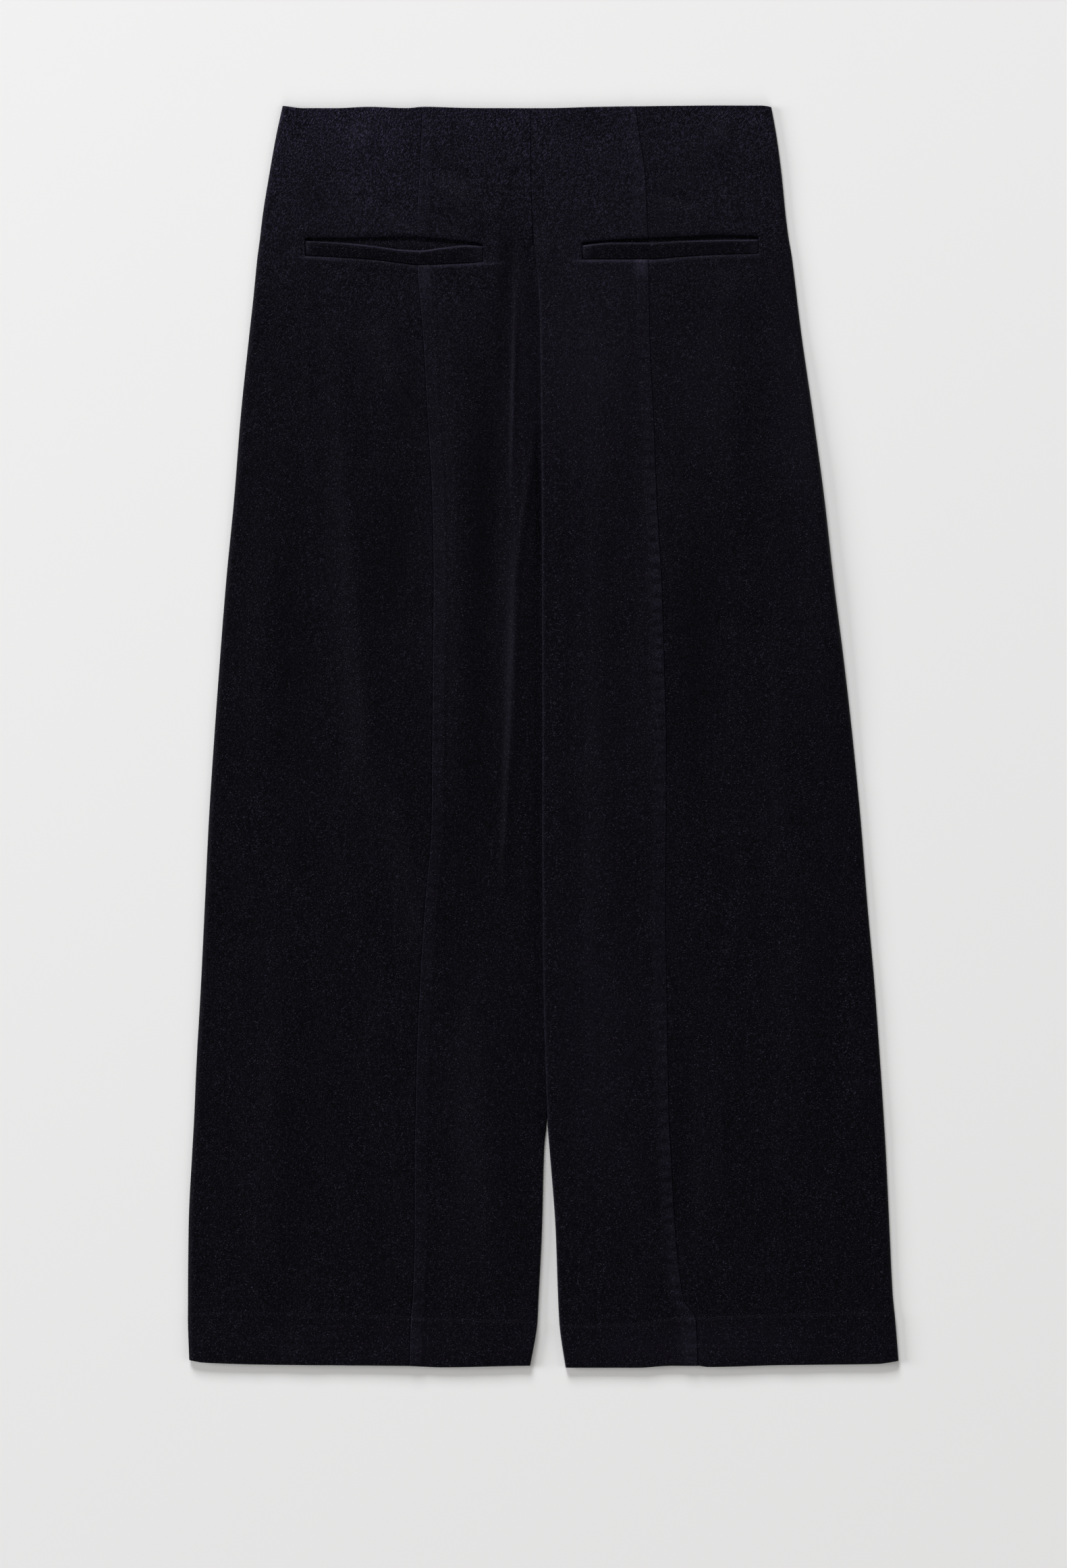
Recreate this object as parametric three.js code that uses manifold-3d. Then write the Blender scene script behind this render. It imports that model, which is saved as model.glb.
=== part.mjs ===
// Wide cropped trousers of dark twill, laid flat on a surface with their back side up.
// Millimetres. X runs to the right as seen from above, Y from the hems to the waist, Z up.
// A drop is a distance down from the waist edge. The origin is under the middle of the trousers.
import * as THREE from "three";
import { mergeVertices } from "three/addons/utils/BufferGeometryUtils.js";
import Module from "manifold-3d";

// Driving sizes
const LENGTH = 973;
const WAIST_Y = LENGTH / 2;
const CLOTH = 1.2;
const GAP = 0.3;
const BACK_TOP = 5.0;
const HEM_DEPTH = 38.5;
const HEM_RAISE = 0.6;
const ROW_STEP = 34;
const EDGE_ROLL = 4.4;
const EDGE_ROUND = 1;
const SEAM_ROLL = 2.0;
const SEAM_GROOVE = 0.4;
const GROOVE_WIDTH = 1.2;
const ALLOWANCE = { width: 8.5, fall: 2, raise: 0.6 };
const WELT = { raise: 0.6, thick: 1.8, round: 0.7 };
const FACING = { above: 7, below: 9, beyond: 4 };
const FRONT_INSET = { edge: 0.3, waist: 3, hem: 1.5 };

// Seams and outlines across the trousers, a row for each station down from the waist. The two
// inner lines are one centre back seam at first. Below it the right leg laps over the left one
// as far as the crotch and on down the thigh, and near the hems the legs part.
const STATIONS = table(
  ["drop", "sideLeft", "seamLeft", "innerLeft", "innerRight", "seamRight", "sideRight"],
  [
    [0, -201, -93, -9.6, -9.6, 71, 176],
    [23, -206, -94, -9.6, -9.6, 74, 180],
    [54, -211.5, -95.5, -9.4, -9.4, 78.5, 184],
    [85, -216.5, -97, -8.3, -8.3, 80, 187],
    [116, -220, -97, -6.2, -6.2, 81, 191],
    [148, -223.5, -95, 0.6, -3.4, 81.5, 195.5],
    [179, -227, -92.5, 4.4, -2.6, 82, 199.5],
    [241, -233.5, -89, 7.4, -1.8, 85, 208.5],
    [304, -238.5, -85.5, 8.6, -1.4, 87.5, 217],
    [366, -244.5, -84.5, 9.9, -1.1, 91, 224],
    [429, -249.5, -85, 11, -1, 93, 232],
    [491, -254, -85.5, 11.2, -0.8, 94.5, 239],
    [553, -258, -86, 11, -1, 94.5, 245],
    [616, -261, -91, 10.3, -0.7, 94, 250],
    [678, -264, -95, 8.9, -0.1, 95, 255.5],
    [740, -267.5, -97.5, 6.6, 1.6, 96, 260],
    [786, -269.5, -98.5, 2.6, 3.4, 97, 263],
    [803, -270.5, -99, 0.8, 4.7, 98, 264],
    [865, -273.5, -99, -0.8, 9.4, 101.5, 267],
    [920, -274, -100.5, -3.6, 11.6, 108, 269.5],
    [936, -274, -102, -4.4, 12.6, 117.5, 271],
    [973, -273, -103, -9.9, 17.2, 119, 274],
  ]
);

// Heights where the right leg laps over the left: the left leg's two layers, then the right's
const PRESSED = 2 * CLOTH + GAP;
const LIFT = PRESSED + GAP;
const RIDING = 7;
const BACK_UNDER = BACK_TOP - CLOTH;
const LAP = { from: 85, full: 115, parted: 790, flat: 832 };

// Heights at the inner lines. Where the right leg laps over the left, the left is pressed down
// and the right rides over it, its front layer lifted off the floor.
const CENTRE = table(
  ["drop", "leftTop", "leftEnd", "rightTop", "rightEnd", "lift"],
  [
    [0, BACK_TOP, BACK_UNDER, BACK_TOP, BACK_UNDER, 0],
    [LAP.from, BACK_TOP, BACK_UNDER, BACK_TOP, BACK_UNDER, 0],
    [LAP.full, PRESSED, PRESSED - CLOTH, RIDING, LIFT + CLOTH + GAP, LIFT],
    [LAP.parted, PRESSED, PRESSED - CLOTH, RIDING, LIFT + CLOTH + GAP, LIFT],
    [LAP.flat, BACK_TOP, CLOTH + GAP, BACK_TOP, CLOTH + GAP, 0],
    [LENGTH, BACK_TOP, CLOTH + GAP, BACK_TOP, CLOTH + GAP, 0],
  ],
  eased
);
const PRESS = { start: 2, end: 13 };
const RIDE = { start: 1, end: 24 };
const RAMP = { start: 0.6, end: 7 };

// How far the waist edge dips and the hem edge rises, across the trousers.
const WAIST = table(
  ["x", "dip"],
  [[-201, 0], [-185, 2], [-160, 2], [-135, 1], [-105, 2], [-92, 1], [-50, 2], [5, 2], [40, 1], [72, 0.6], [130, 0],
    [168, 0], [176, 1]]
);
const HEM = table(
  ["x", "rise"],
  [[-274, 6], [-261, 3.9], [-209, 2.3], [-153, 1.8], [-104, 1.4], [-79, 0.3], [-10, 1.5], [17, 0], [72, 0],
    [99, 1.5], [120, 1.5], [127, 0.6], [183, 2], [257, 2.9], [274, 5.2]]
);

// The line of stitches that holds the turned-up hem, across the trousers.
const HEM_LINE = table(
  ["x", "drop"],
  [[-274, 931.5], [-228, 929.8], [-194, 931.2], [-153, 932.1], [-107, 933.4], [-81, 935.5], [-5, 937], [18, 940.5],
    [62, 939.6], [90, 936.5], [101, 934.4], [127, 934.2], [164, 932.4], [202, 931.3], [239, 930.3], [274, 930.3]]
);
const WAIST_REACH = 60;
const HEM_REACH = 110;

// The largest folds of the back: soft ridges, and valleys where the height is below zero. Each
// runs from one end to the other, bowed sideways at its middle, and dies away at both ends.
const FOLDS = rows(
  ["x0", "drop0", "x1", "drop1", "bow", "width", "height"],
  [
    [-160, 160, -130, 560, 0, 13, 3.3],
    [-208, 250, -214, 520, 0, 17, 1.8],
    [-66, 150, -60, 560, 0, 15, 4.2],
    [-27, 98, -23, 180, 0, 6, -2],
    [-38, 200, -41, 520, 0, 10, -2],
    [-80, 56, -46, 95, 3, 8, 2.2],
    [-134, 170, -84, 256, -3, 12, 3],
    [-116, 290, -100, 415, 0, 17, -1.6],
    [-140, 400, -66, 705, 0, 19, 4],
    [-46, 640, -38, 915, 2, 20, 3.4],
    [-200, 640, -206, 905, 0, 18, 2.4],
    [-150, 24, -128, 26, 0, 13, 1.8],
    [126, 24, 146, 28, 0, 12, 1.8],
    [142, 130, 152, 340, 0, 15, 3.6],
    [212, 120, 224, 520, 0, 18, 3.2],
    [92, 290, 92, 590, 0, 26, 4.8],
    [45, 180, 54, 740, -5, 16, 3.2],
    [186, 400, 198, 830, 4, 18, 3],
    [112, 715, 112, 905, 0, 12, -2],
  ]
);
const LOWEST_TOP = 3.0;

// The two slit pockets, by columns across them: the slit's upper edge, the folded lip of the
// welt just below it, and the seam at the welt's foot. The left lip gapes at its middle.
const POCKETS = {
  left: table(
    ["x", "slit", "lip", "foot"],
    [
      [-183.5, 102.4, 104.4, 115.7],
      [-157.5, 102.4, 105.6, 117],
      [-130, 101.8, 108.4, 118.8],
      [-110, 101.2, 111.1, 121.3],
      [-95, 101.6, 111.8, 122.9],
      [-78, 103, 109.7, 122.2],
      [-58, 105.4, 107.8, 121.3],
      [-46.5, 106.8, 108.6, 120.4],
    ]
  ),
  right: table(
    ["x", "slit", "lip", "foot"],
    [
      [30, 106, 107.8, 118.4],
      [53, 103.8, 105.6, 118.4],
      [80, 102.4, 105.6, 118.4],
      [107, 101.4, 104.5, 116.5],
      [133, 100.2, 103.8, 114.9],
      [166, 101, 103.2, 113.9],
    ]
  ),
};
const POCKET_STEPS = 16;

const CLOTH_COLOUR = 0x15151d;
const FACING_COLOUR = 0x101017;

// Records from a table written as rows of numbers
function rows(names, lines) {
  return lines.map((line) => Object.fromEntries(names.map((name, i) => [name, line[i]])));
}

// A table as one curve for each column after the first, which holds the places. The places are
// kept as ends, so that what runs across the table knows where it starts and stops.
function table(names, lines, between = smooth) {
  const at = lines.map((line) => line[0]);
  const curves = { from: at[0], to: at[at.length - 1] };
  names.slice(1).forEach((name, i) => {
    curves[name] = between(at, lines.map((line) => line[i + 1]));
  });
  return curves;
}

function stretchOf(at, place) {
  let i = 0;
  while (i < at.length - 2 && place > at[i + 1]) i++;
  const share = (place - at[i]) / (at[i + 1] - at[i]);
  return [i, Math.min(Math.max(share, 0), 1)];
}

// A curve through the values that never swings past them
function smooth(at, values) {
  const steep = at.slice(1).map((place, i) => (values[i + 1] - values[i]) / (place - at[i]));
  const slopes = values.map((_, i) => {
    const before = steep[Math.max(i - 1, 0)];
    const after = steep[Math.min(i, steep.length - 1)];
    return before * after > 0 ? (2 * before * after) / (before + after) : 0;
  });
  return (place) => {
    const [i, t] = stretchOf(at, place);
    const step = at[i + 1] - at[i];
    const start = (1 + 2 * t) * (1 - t) ** 2 * values[i] + t * (1 - t) ** 2 * step * slopes[i];
    const end = t * t * (3 - 2 * t) * values[i + 1] - t * t * (1 - t) * step * slopes[i + 1];
    return start + end;
  };
}

// A curve that is level at each value, for stretches that lie at one height
function eased(at, values) {
  return (place) => {
    const [i, t] = stretchOf(at, place);
    return values[i] + (values[i + 1] - values[i]) * t * t * (3 - 2 * t);
  };
}

function ease(value, from, to) {
  return THREE.MathUtils.smoothstep(value, from, to);
}

// Height of one fold at a place: round across it, and fading at both ends
function foldHeight(fold, x, drop) {
  const along = { x: fold.x1 - fold.x0, drop: fold.drop1 - fold.drop0 };
  const long = Math.hypot(along.x, along.drop);
  const share = ((x - fold.x0) * along.x + (drop - fold.drop0) * along.drop) / long ** 2;
  if (share <= 0 || share >= 1) return 0;
  const across = ((x - fold.x0) * along.drop - (drop - fold.drop0) * along.x) / long;
  const away = (across - fold.bow * Math.sin(Math.PI * share)) / fold.width;
  return fold.height * Math.exp(-away * away) * Math.sin(Math.PI * share) ** 0.7;
}

function foldsAt(x, drop) {
  return FOLDS.reduce((sum, fold) => sum + foldHeight(fold, x, drop), 0);
}

// 1 within the turned-up hem, 0 above it
function inHem(drop) {
  return ease(drop, LENGTH - HEM_DEPTH - 1, LENGTH - HEM_DEPTH + 1);
}

// Upper side of the left back, pressed down where the right leg lies on it
function leftTop(x, drop) {
  const fromFold = STATIONS.innerRight(drop) - x;
  const pressed = 1 - ease(fromFold, PRESS.start, PRESS.end);
  const slack = Math.max(BACK_TOP + foldsAt(x, drop) + HEM_RAISE * inHem(drop), LOWEST_TOP);
  return THREE.MathUtils.lerp(slack, CENTRE.leftTop(drop) + HEM_RAISE * inHem(drop), pressed);
}

// Upper side of the right back, riding over the left leg's inner edge
function rightTop(x, drop) {
  const lap = Math.max(STATIONS.innerLeft(drop) - STATIONS.innerRight(drop), 0);
  const fromLap = x - STATIONS.innerRight(drop) - lap;
  const riding = 1 - ease(fromLap, RIDE.start, RIDE.end);
  const slack = Math.max(BACK_TOP + foldsAt(x, drop) + HEM_RAISE * inHem(drop), LOWEST_TOP);
  return THREE.MathUtils.lerp(slack, CENTRE.rightTop(drop) + HEM_RAISE * inHem(drop), riding);
}

// The real drop at a station: the grid follows the waist edge, the hem's stitches and the hem edge
function dropAt(x, station) {
  const dip = WAIST.dip(x) * (1 - ease(station, 0, WAIST_REACH));
  const band = LENGTH - HEM_DEPTH;
  const turned = THREE.MathUtils.clamp((station - band) / HEM_DEPTH, 0, 1);
  const fit = THREE.MathUtils.lerp(HEM_LINE.drop(x) - band, -HEM.rise(x), turned);
  return station + dip + fit * ease(station, LENGTH - HEM_REACH, band);
}

// Stations of the grid rows: one at each change along the inner lines and the hem, and evenly
// spaced ones between
function stations() {
  const band = LENGTH - HEM_DEPTH;
  const changes = [0, EDGE_ROUND, LAP.from, LAP.full, LAP.parted, LAP.flat, band - 1.5, band + 1.5];
  const all = [...changes, LENGTH - EDGE_ROUND, LENGTH];
  const between = all.slice(1).map((end, i) => {
    const steps = Math.ceil((end - all[i]) / ROW_STEP);
    return Array.from({ length: steps }, (_, k) => all[i] + ((end - all[i]) * k) / steps);
  });
  return [...between.flat(), LENGTH];
}

// How much the upper side falls at the rounded waist edge and at the folded hem edge
function endRound(station) {
  return station <= 0 || station >= LENGTH ? EDGE_ROUND / 2 : 0;
}

// Columns from a rolled edge inwards: sideways offsets of the upper and lower points, and the
// share of the height that is left there
function rollColumns(radius) {
  return [90, 60, 30, 0].map((degrees) => {
    const turn = THREE.MathUtils.degToRad(degrees);
    return {
      upper: radius * (1 - Math.sin(turn)),
      lower: radius - (radius - CLOTH) * Math.sin(turn),
      share: Math.cos(turn),
      start: radius,
    };
  });
}

// One edge of a panel. side is 1 where the panel lies to the right of it, and -1 to the left.
function rolledEdge(side, line, radius, end) {
  return (drop, top) =>
    rollColumns(radius(drop)).map((c) => {
      const edge = line(drop);
      const level = top(edge + side * c.start, drop);
      const foot = end(drop);
      return {
        upper: [edge + side * c.upper, foot + (level - foot) * c.share],
        lower: [edge + side * c.lower, foot + (level - CLOTH - foot) * c.share],
      };
    });
}

function seamEdge(side, line, raised) {
  const offsets = raised ? [0, GROOVE_WIDTH, ALLOWANCE.width, ALLOWANCE.width + ALLOWANCE.fall] : [0, GROOVE_WIDTH];
  return (drop, top) =>
    offsets.map((offset, i) => {
      const x = line(drop) + side * (GAP / 2 + offset);
      const raise = raised && (i === 1 || i === 2) ? ALLOWANCE.raise : 0;
      const groove = i === 0 ? SEAM_GROOVE : 0;
      const level = top(x, drop);
      return { upper: [x, level + raise - groove], lower: [x, level - CLOTH] };
    });
}

function frontTop(station) {
  return CLOTH * (1 + inHem(station));
}

function sideEnd(station) {
  return frontTop(station) + GAP;
}

function sideRoll() {
  return EDGE_ROLL;
}

// The inner lines roll tightly at the centre back seam and wider where they are folds
function innerRoll(drop) {
  return THREE.MathUtils.lerp(SEAM_ROLL, EDGE_ROLL, ease(drop, LAP.from, LAP.full));
}

function leftInnerEnd(drop) {
  return CENTRE.leftEnd(drop) + CLOTH * inHem(drop);
}

function rightInnerEnd(drop) {
  return CENTRE.rightEnd(drop) + CLOTH * inHem(drop);
}

function leftInner(drop) {
  return STATIONS.innerLeft(drop) - GAP / 2;
}

function rightInner(drop) {
  return STATIONS.innerRight(drop) + GAP / 2;
}

// A closed wall between an upper and a lower grid of points with as many rows and columns
function wallBetween(upper, lower) {
  const last = upper.length - 1;
  const end = upper[0].length - 1;
  const positions = [...upper.flat(), ...lower.flat()].flat();
  const top = (i, j) => i * (end + 1) + j;
  const under = (i, j) => (last + 1) * (end + 1) + top(i, j);
  const index = [];
  const quad = (a, b, c, d) => index.push(a, b, c, a, c, d);
  for (let i = 0; i < last; i++) {
    for (let j = 0; j < end; j++) {
      quad(top(i, j), top(i + 1, j), top(i + 1, j + 1), top(i, j + 1));
      quad(under(i, j), under(i, j + 1), under(i + 1, j + 1), under(i + 1, j));
    }
    quad(top(i + 1, 0), top(i, 0), under(i, 0), under(i + 1, 0));
    quad(top(i, end), top(i + 1, end), under(i + 1, end), under(i, end));
  }
  for (let j = 0; j < end; j++) {
    quad(top(0, j), top(0, j + 1), under(0, j + 1), under(0, j));
    quad(top(last, j + 1), top(last, j), under(last, j), under(last, j + 1));
  }
  const geometry = new THREE.BufferGeometry();
  geometry.setAttribute("position", new THREE.Float32BufferAttribute(positions, 3));
  geometry.setIndex(index);
  return geometry;
}

// A back panel: a wall through sections, one for each station, from its left edge to its right
function backPanel({ left, right, top, inside }) {
  const upper = [];
  const lower = [];
  for (const station of stations()) {
    const first = left(station, top);
    const last = right(station, top).reverse();
    const from = first[first.length - 1].upper[0];
    const to = last[0].upper[0];
    const middle = Array.from({ length: inside }, (_, i) => {
      const x = from + ((to - from) * (i + 1)) / (inside + 1);
      const level = top(x, station);
      return { upper: [x, level], lower: [x, level - CLOTH] };
    });
    const hemInside = CLOTH * inHem(station);
    const section = [...first, ...middle, ...last];
    const rolled = (i) => section[i].upper[0] !== section[i].lower[0];
    const fall = endRound(station);
    upper.push(section.map(({ upper: [x, z] }) => [x, WAIST_Y - dropAt(x, station), z - fall]));
    lower.push(
      section.map(({ lower: [x, z] }, i) => {
        const under = rolled(i) ? z : z - hemInside;
        return [x, WAIST_Y - dropAt(section[i].upper[0], station), under];
      })
    );
  }
  return wallBetween(upper, lower);
}

// A front panel: flat on the floor, its inner edge lifted where it lies over the other leg
function frontPanel({ from, to, lift }) {
  const inside = 7;
  const upper = [];
  const lower = [];
  const last = LENGTH - FRONT_INSET.hem;
  const all = stations().filter((s) => s > FRONT_INSET.waist && s < last);
  for (const station of [FRONT_INSET.waist, ...all, last]) {
    const places = lift ? liftedPlaces(station, from, to, inside) : evenPlaces(station, from, to, inside);
    const y = (x) => WAIST_Y - dropAt(x, station);
    upper.push(places.map(([x, z]) => [x, y(x), z + frontTop(station)]));
    lower.push(places.map(([x, z]) => [x, y(x), z]));
  }
  return wallBetween(upper, lower);
}

function evenPlaces(station, from, to, inside) {
  const start = from(station);
  const wide = to(station) - start;
  return Array.from({ length: inside + 1 }, (_, i) => [start + (wide * i) / inside, 0]);
}

// The lifted strip, the ramp down from it, and then the floor
function liftedPlaces(station, from, to, inside) {
  const high = CENTRE.lift(station);
  const rampStart = Math.max(leftInner(station), from(station)) + RAMP.start;
  const rampEnd = rampStart + RAMP.end;
  const flat = evenPlaces(station, () => rampEnd, to, inside - 1);
  return [[from(station), high], [rampStart, high], ...flat];
}

// A band across a pocket, between two of its lines, as a grid of places
function pocketGrid(pocket, shares, from, to, beyond = 0) {
  return shares.map((share) =>
    Array.from({ length: POCKET_STEPS + 1 }, (_, i) => {
      const along = i / POCKET_STEPS;
      const inner = THREE.MathUtils.lerp(pocket.from, pocket.to, along);
      const x = THREE.MathUtils.lerp(pocket.from - beyond, pocket.to + beyond, along);
      const drop = THREE.MathUtils.lerp(from(inner), to(inner), share);
      return { x, drop };
    })
  );
}

function atHeight(grid, height) {
  return grid.map((line, i) => line.map(({ x, drop }) => [x, WAIST_Y - drop, height(x, drop, i)]));
}

// What the window for a pocket takes out of the back panels
function pocketWindow(pocket) {
  const grid = pocketGrid(pocket, [0, 1], pocket.slit, pocket.foot);
  return wallBetween(atHeight(grid, () => 3 * BACK_TOP), atHeight(grid, () => 0));
}

// The welt: a folded strip whose lip and foot are rounded off, standing a little proud
function welt(pocket, top) {
  const shares = [0, 0.09, 0.5, 0.9, 1];
  const lip = (x) => pocket.lip(x);
  const foot = (x) => pocket.foot(x) - GAP;
  const grid = pocketGrid(pocket, shares, lip, foot, -GAP);
  const proud = (i) => WELT.raise - (i === 0 || i === shares.length - 1 ? WELT.round : 0);
  return wallBetween(
    atHeight(grid, (x, drop, i) => top(x, drop) + proud(i)),
    atHeight(grid, (x, drop) => top(x, drop) + WELT.raise - WELT.thick)
  );
}

// The piece of cloth behind the slit, which shows in the gap above the welt's lip
function facing(pocket) {
  const above = (x) => pocket.slit(x) - FACING.above;
  const below = (x) => pocket.foot(x) + FACING.below;
  const grid = pocketGrid(pocket, [0, 0.5, 1], above, below, FACING.beyond);
  const under = BACK_UNDER - GAP;
  return wallBetween(atHeight(grid, () => under), atHeight(grid, () => under - CLOTH));
}

const wasm = await Module();
wasm.setup();

function solidOf(geometry) {
  const merged = mergeVertices(geometry, 1e-4);
  return new wasm.Manifold(
    new wasm.Mesh({
      numProp: 3,
      vertProperties: new Float32Array(merged.attributes.position.array),
      triVerts: new Uint32Array(merged.index.array),
    })
  );
}

function cutBy(geometry, cutter) {
  const mesh = solidOf(geometry).subtract(solidOf(cutter)).getMesh();
  const cut = new THREE.BufferGeometry();
  cut.setAttribute("position", new THREE.BufferAttribute(mesh.vertProperties, 3));
  cut.setIndex(new THREE.BufferAttribute(mesh.triVerts, 1));
  return cut;
}

function piece(name, geometry, colour) {
  const material = new THREE.MeshStandardMaterial({ color: colour, roughness: 0.92, metalness: 0 });
  const mesh = new THREE.Mesh(geometry, material);
  mesh.name = name;
  mesh.geometry.computeVertexNormals();
  return mesh;
}

// The four back panels, from left to right
const PANELS = {
  back_left_side: {
    left: rolledEdge(1, STATIONS.sideLeft, sideRoll, sideEnd),
    right: seamEdge(-1, STATIONS.seamLeft, false),
    top: leftTop,
    inside: 8,
    pocket: POCKETS.left,
  },
  back_left_centre: {
    left: seamEdge(1, STATIONS.seamLeft, true),
    right: rolledEdge(-1, leftInner, innerRoll, leftInnerEnd),
    top: leftTop,
    inside: 9,
    pocket: POCKETS.left,
  },
  back_right_centre: {
    left: rolledEdge(1, rightInner, innerRoll, rightInnerEnd),
    right: seamEdge(-1, STATIONS.seamRight, true),
    top: rightTop,
    inside: 8,
    pocket: POCKETS.right,
  },
  back_right_side: {
    left: seamEdge(1, STATIONS.seamRight, false),
    right: rolledEdge(-1, STATIONS.sideRight, sideRoll, sideEnd),
    top: rightTop,
    inside: 9,
    pocket: POCKETS.right,
  },
};

const trousers = new THREE.Group();

for (const [name, panel] of Object.entries(PANELS)) {
  trousers.add(piece(name, cutBy(backPanel(panel), pocketWindow(panel.pocket)), CLOTH_COLOUR));
}

trousers.add(
  piece(
    "front_left",
    frontPanel({ from: (s) => STATIONS.sideLeft(s) + FRONT_INSET.edge, to: leftInner, lift: false }),
    CLOTH_COLOUR
  )
);
trousers.add(
  piece(
    "front_right",
    frontPanel({ from: rightInner, to: (s) => STATIONS.sideRight(s) - FRONT_INSET.edge, lift: true }),
    CLOTH_COLOUR
  )
);

for (const [side, top] of [["left", leftTop], ["right", rightTop]]) {
  trousers.add(piece(`welt_${side}`, welt(POCKETS[side], top), CLOTH_COLOUR));
  trousers.add(piece(`pocket_facing_${side}`, facing(POCKETS[side]), FACING_COLOUR));
}

export default trousers;
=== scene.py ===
"""Wide cropped trousers of dark indigo twill, laid flat with their back side up.

Sizes are in millimetres until a mesh is made. X runs to the right as seen from above, Y from the
hems to the waist, Z up from the surface, and the origin is under the middle. A drop is a distance
down from the waist edge.
"""
import math

import bmesh
import bpy
import numpy as np
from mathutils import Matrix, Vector


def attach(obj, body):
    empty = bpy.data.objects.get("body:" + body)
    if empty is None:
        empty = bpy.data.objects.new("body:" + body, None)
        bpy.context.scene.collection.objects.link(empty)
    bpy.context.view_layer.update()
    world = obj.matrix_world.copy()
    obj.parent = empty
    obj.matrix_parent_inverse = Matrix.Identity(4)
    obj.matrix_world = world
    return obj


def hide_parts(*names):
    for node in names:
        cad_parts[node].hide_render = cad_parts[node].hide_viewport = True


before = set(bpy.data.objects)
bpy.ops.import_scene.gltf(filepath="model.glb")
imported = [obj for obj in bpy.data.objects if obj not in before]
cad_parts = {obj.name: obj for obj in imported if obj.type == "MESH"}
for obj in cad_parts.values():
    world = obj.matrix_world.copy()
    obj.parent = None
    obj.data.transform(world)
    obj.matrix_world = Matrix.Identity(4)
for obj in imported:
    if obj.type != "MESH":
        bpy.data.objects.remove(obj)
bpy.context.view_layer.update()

MM = 0.001
BODY = "root"

# Driving sizes, as in the solids
LENGTH = 973
WAIST_Y = LENGTH / 2
CLOTH = 1.2
GAP = 0.3
SEWN_GAP = 0.03
BACK_TOP = 5.0
BACK_UNDER = BACK_TOP - CLOTH
HEM_DEPTH = 38.5
HEM_TOP = LENGTH - HEM_DEPTH
HEM_RAISE = 0.6
EDGE_ROLL = 4.4
SEAM_ROLL = 0.5
INNER_ROLL = 1.3
LOWEST_TOP = 3.0
PRESSED = 2 * CLOTH + GAP
LIFT = PRESSED + GAP
RIDING = 7.0
LAP_FROM, LAP_FULL, LAP_PARTED, LAP_FLAT = 85, 115, 790, 832
PRESS_START, PRESS_END = 2, 13
RIDE_START, RIDE_END = 1, 24
RAMP_START, RAMP_END = 0.6, 7
WAIST_REACH = 60
HEM_REACH = 110

# Seams and outlines across the trousers, a row for each station down from the waist
STATION_NAMES = ["drop", "side_left", "seam_left", "inner_left", "inner_right", "seam_right", "side_right"]
STATION_ROWS = [
    [0, -201, -93, -9.6, -9.6, 71, 176],
    [23, -206, -94, -9.6, -9.6, 74, 180],
    [54, -211.5, -95.5, -9.4, -9.4, 78.5, 184],
    [85, -216.5, -97, -8.3, -8.3, 80, 187],
    [116, -220, -97, -6.2, -6.2, 81, 191],
    [148, -223.5, -95, 0.6, -3.4, 81.5, 195.5],
    [179, -227, -92.5, 4.4, -2.6, 82, 199.5],
    [241, -233.5, -89, 7.4, -1.8, 85, 208.5],
    [304, -238.5, -85.5, 8.6, -1.4, 87.5, 217],
    [366, -244.5, -84.5, 9.9, -1.1, 91, 224],
    [429, -249.5, -85, 11, -1, 93, 232],
    [491, -254, -85.5, 11.2, -0.8, 94.5, 239],
    [553, -258, -86, 11, -1, 94.5, 245],
    [616, -261, -91, 10.3, -0.7, 94, 250],
    [678, -264, -95, 8.9, -0.1, 95, 255.5],
    [740, -267.5, -97.5, 6.6, 1.6, 96, 260],
    [786, -269.5, -98.5, 2.6, 3.4, 97, 263],
    [803, -270.5, -99, 0.8, 4.7, 98, 264],
    [865, -273.5, -99, -0.8, 9.4, 101.5, 267],
    [920, -274, -100.5, -3.6, 11.6, 108, 269.5],
    [936, -274, -102, -4.4, 12.6, 117.5, 271],
    [973, -273, -103, -9.9, 17.2, 119, 274],
]

# Heights at the inner lines: sewn together, then the right leg lapped over the left, then parted
CENTRE_NAMES = ["drop", "left_top", "left_end", "right_top", "right_end", "lift"]
CENTRE_ROWS = [
    [0, BACK_TOP, BACK_UNDER, BACK_TOP, BACK_UNDER, 0],
    [LAP_FROM, BACK_TOP, BACK_UNDER, BACK_TOP, BACK_UNDER, 0],
    [LAP_FULL, PRESSED, PRESSED - CLOTH, RIDING, LIFT + CLOTH + GAP, LIFT],
    [LAP_PARTED, PRESSED, PRESSED - CLOTH, RIDING, LIFT + CLOTH + GAP, LIFT],
    [LAP_FLAT, BACK_TOP, CLOTH + GAP, BACK_TOP, CLOTH + GAP, 0],
    [LENGTH, BACK_TOP, CLOTH + GAP, BACK_TOP, CLOTH + GAP, 0],
]

# How far the waist edge dips and the hem edge rises, across the trousers
WAIST_ROWS = [[-201, 0], [-185, 2], [-160, 2], [-135, 1], [-105, 2], [-92, 1], [-50, 2], [5, 2], [40, 1],
              [72, 0.6], [130, 0], [168, 0], [176, 1]]
HEM_ROWS = [[-274, 6], [-261, 3.9], [-209, 2.3], [-153, 1.8], [-104, 1.4], [-79, 0.3], [-10, 1.5], [17, 0],
            [72, 0], [99, 1.5], [120, 1.5], [127, 0.6], [183, 2], [257, 2.9], [274, 5.2]]
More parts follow.
